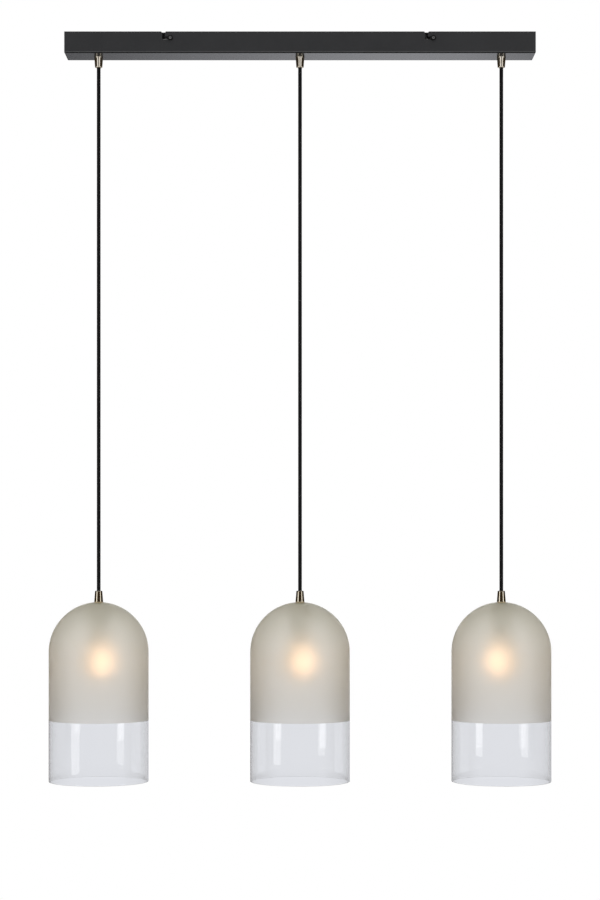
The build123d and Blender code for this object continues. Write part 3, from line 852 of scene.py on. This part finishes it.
def make_world():
    """White studio; metal mirrors it to the front and the back only, so that its side edges stay dark."""
    soft_light = 0.72
    through_tint = (0.953, 0.972, 1.028)
    world = bpy.data.worlds.new("studio")
    scene.world = world
    world.use_nodes = True
    tree = world.node_tree
    parts = parts_of(tree, tree.nodes.new("ShaderNodeTexCoord").outputs["Generated"])
    rays = tree.nodes.new("ShaderNodeLightPath").outputs
    mirrored, mirrored_colour = mirrored_studio(tree, parts)
    refracted = refracted_studio(tree, parts)
    strength = between(tree, rays["Is Glossy Ray"], soft_light, mirrored)
    strength = between(tree, rays["Is Transmission Ray"], strength, refracted)
    strength = between(tree, rays["Is Camera Ray"], strength, 1.0)
    colour = blend_of(tree, rays["Is Transmission Ray"], mirrored_colour, through_tint)
    colour = blend_of(tree, rays["Is Glossy Ray"], white, colour)
    backdrop = tree.nodes["Background"].inputs
    tree.links.new(colour, backdrop["Color"])
    tree.links.new(strength, backdrop["Strength"])


def make_floor():
    """Pale floor with the light's soft shadow; it fades to white at its edge and is clear from below."""
    radius = 2.5
    height = -1.95
    fade_start = 1.1
    fade_end = 2.3
    work = bmesh.new()
    bmesh.ops.create_circle(work, cap_ends=True, radius=radius, segments=96)
    mesh = bpy.data.meshes.new("studio_floor")
    work.to_mesh(mesh)
    work.free()
    floor = bpy.data.objects.new("studio_floor", mesh)
    floor.location = (0.0, 0.0, height)
    scene.collection.objects.link(floor)
    finish, tree, shader, place = new_finish("pale_floor")
    edge = spread_of(tree, length_of(tree, place), fade_start, fade_end, smooth=True)
    rays = tree.nodes.new("ShaderNodeLightPath").outputs
    mirrored = math_of(tree, "MAXIMUM", rays["Is Camera Ray"], rays["Is Glossy Ray"])
    seen = between(tree, rays["Is Transmission Ray"], mirrored, between(tree, edge, 0.6, 0.9))
    pale = blend_of(tree, noise_of(tree, place, 3.0, 2.0), (0.78, 0.78, 0.78), (0.82, 0.82, 0.82))
    set_shader(
        tree,
        shader,
        Base_Color=blend_of(tree, edge, pale, black),
        Roughness=0.9,
        Specular_IOR_Level=0.0,
        Emission_Color=white,
        Emission_Strength=product_of(tree, seen, between(tree, edge, 0.35, 1.0)),
    )
    below = tree.nodes.new("ShaderNodeNewGeometry").outputs["Backfacing"]
    clear = tree.nodes.new("ShaderNodeBsdfTransparent").outputs[0]
    surface = add(tree, "ShaderNodeMixShader", {0: below, 1: shader.outputs[0], 2: clear})
    tree.links.new(surface.outputs[0], tree.nodes["Material Output"].inputs["Surface"])
    mesh.materials.append(finish)


def make_lamp(name, place, aim, width, height, radiance):
    """Soft box of a given size that faces a point."""
    lamp = bpy.data.lights.new(name, "AREA")
    lamp.shape = "RECTANGLE"
    lamp.size = width
    lamp.size_y = height
    lamp.energy = radiance * pi * width * height
    holder = bpy.data.objects.new(name, lamp)
    holder.location = place
    sight = [b - a for a, b in zip(place, aim)]
    flat = hypot(sight[0], sight[1])
    holder.rotation_euler = (atan2(flat, -sight[2]), 0.0, atan2(sight[1], sight[0]) - pi / 2)
    holder.visible_camera = False
    scene.collection.objects.link(holder)


def make_lamps():
    """Two upright strips in front, one to each side, and a soft box above."""
    make_lamp(
        "left_strip",
        place=(-2.43, -1.76, -0.82),
        aim=(0.0, 0.0, -0.82),
        width=1.0,
        height=1.4,
        radiance=1.4,
    )
    make_lamp(
        "right_strip",
        place=(2.43, -1.76, -0.77),
        aim=(0.0, 0.0, -0.77),
        width=0.85,
        height=1.4,
        radiance=1.35,
    )
    make_lamp(
        "overhead_box",
        place=(0.0, -0.9, 1.6),
        aim=(0.0, 0.0, -0.6),
        width=1.6,
        height=1.2,
        radiance=1.2,
    )


make_camera()
tree_of_cords = cord_tree()
tree_of_turning = turning_tree()

textile = braided_textile()
brass = plated_metal(
    "antique_brass",
    dark=(0.76, 0.67, 0.52),
    light=(0.90, 0.83, 0.69),
    roughness=0.07,
    grain=160.0,
    lathe_lines=2200.0,
)
glass = shade_glass()
pearl = bulb_glass()
upper_grip = cone_points(bar_bottom, -1)
lower_grip = cone_points(lower_base, 1)
shade = shade_points()
shell, space = bulb_points()
for side, x in pendants.items():
    make_cord(side, x, textile)
    shade_body = f"shade_{side}"
    bulb_body = f"bulb_{side}"
    turned(f"upper_grip_{side}", "bar", f"upper_cone_{side}", upper_grip, x, brass)
    turned(f"lower_grip_{side}", shade_body, f"lower_cone_{side}", lower_grip, x, brass)
    turned(
        f"domed_shade_{side}",
        shade_body,
        f"glass_shade_{side}",
        shade,
        x,
        glass,
        steps=192,
    )
    turned(
        f"pearl_bulb_{side}",
        bulb_body,
        f"bulb_glass_{side}",
        shell,
        x,
        pearl,
        hollow=space,
    )

charcoal = powder_coat(
    "charcoal_coat",
    dark=(0.0375, 0.0385, 0.0412),
    light=(0.0425, 0.0435, 0.0462),
    roughness=0.25,
    grain=1400.0,
    painted_light=bar_painted_light,
)
bracket_black = powder_coat(
    "matt_black",
    dark=(0.026, 0.026, 0.027),
    light=(0.034, 0.034, 0.035),
    roughness=0.7,
    grain=900.0,
)
screw_black = screw_steel_with_painted_light()
zinc = plated_metal("zinc_plate", (0.42, 0.42, 0.41), (0.62, 0.62, 0.61), 0.34, 160.0)
bright_brass = plated_metal("bright_brass", (0.55, 0.40, 0.16), (0.72, 0.55, 0.26), 0.26, 300.0)
nickel = two_finishes(
    "bulb_cap_metal",
    axis="Z",
    edge=shell_top,
    before=((0.66, 0.65, 0.62), 1.0, 0.28),
    after=((0.02, 0.02, 0.022), 0.0, 0.2),
)
contact_tin = plated_metal("tinned_contact", (0.5, 0.5, 0.48), (0.7, 0.69, 0.66), 0.3, 500.0)
nylon = moulded("natural_nylon", (0.70, 0.69, 0.64), (0.78, 0.77, 0.72), 0.42)
silicone = moulded("amber_silicone", (0.70, 0.55, 0.33), (0.79, 0.64, 0.41), 0.5)
holder_plastic = moulded("holder_plastic", (0.70, 0.69, 0.65), (0.76, 0.75, 0.71), 0.4)
terminal_plastic = moulded("terminal_plastic", (0.72, 0.72, 0.68), (0.80, 0.80, 0.76), 0.35)
brown = moulded("brown_core", (0.10, 0.042, 0.018), (0.15, 0.065, 0.03), 0.36)
blue = moulded("blue_core", (0.02, 0.09, 0.33), (0.035, 0.13, 0.42), 0.36)
earth = two_finishes(
    "earth_core",
    axis="X",
    edge=earth_crimp,
    before=((0.24, 0.42, 0.04), 0.0, 0.38),
    after=((0.62, 0.62, 0.6), 1.0, 0.32),
)
filament = lit_filament()

finishes = {
    "ceiling_bracket": bracket_black,
    "side_screws": screw_black,
    "ceiling_bar": charcoal,
    "upper_collets": nylon,
    "upper_nipples": zinc,
    "upper_washers": zinc,
    "upper_locknuts": zinc,
    "cord_tails": textile,
    "terminal_block": terminal_plastic,
    "terminal_screws": zinc,
    "stud_nuts": zinc,
    "earth_wire": earth,
    "live_wires": brown,
    "neutral_wires": blue,
}
for side in pendants:
    finishes[f"lower_collet_{side}"] = nylon
    finishes[f"lower_nipple_{side}"] = zinc
    finishes[f"cord_end_{side}"] = textile
    finishes[f"shade_gaskets_{side}"] = silicone
    finishes[f"holder_cap_{side}"] = holder_plastic
    finishes[f"holder_body_{side}"] = holder_plastic
    finishes[f"holder_contacts_{side}"] = bright_brass
    finishes[f"bulb_tip_{side}"] = contact_tin
    finishes[f"bulb_cap_{side}"] = nickel
    finishes[f"bulb_filament_{side}"] = filament
dress_nodes(finishes)

make_world()
make_floor()
make_lamps()
scene.view_settings.view_transform = "Standard"
scene.cycles.use_denoising = True
scene.cycles.max_bounces = 16
scene.cycles.transmission_bounces = 12
scene.cycles.glossy_bounces = 6
scene.cycles.diffuse_bounces = 4
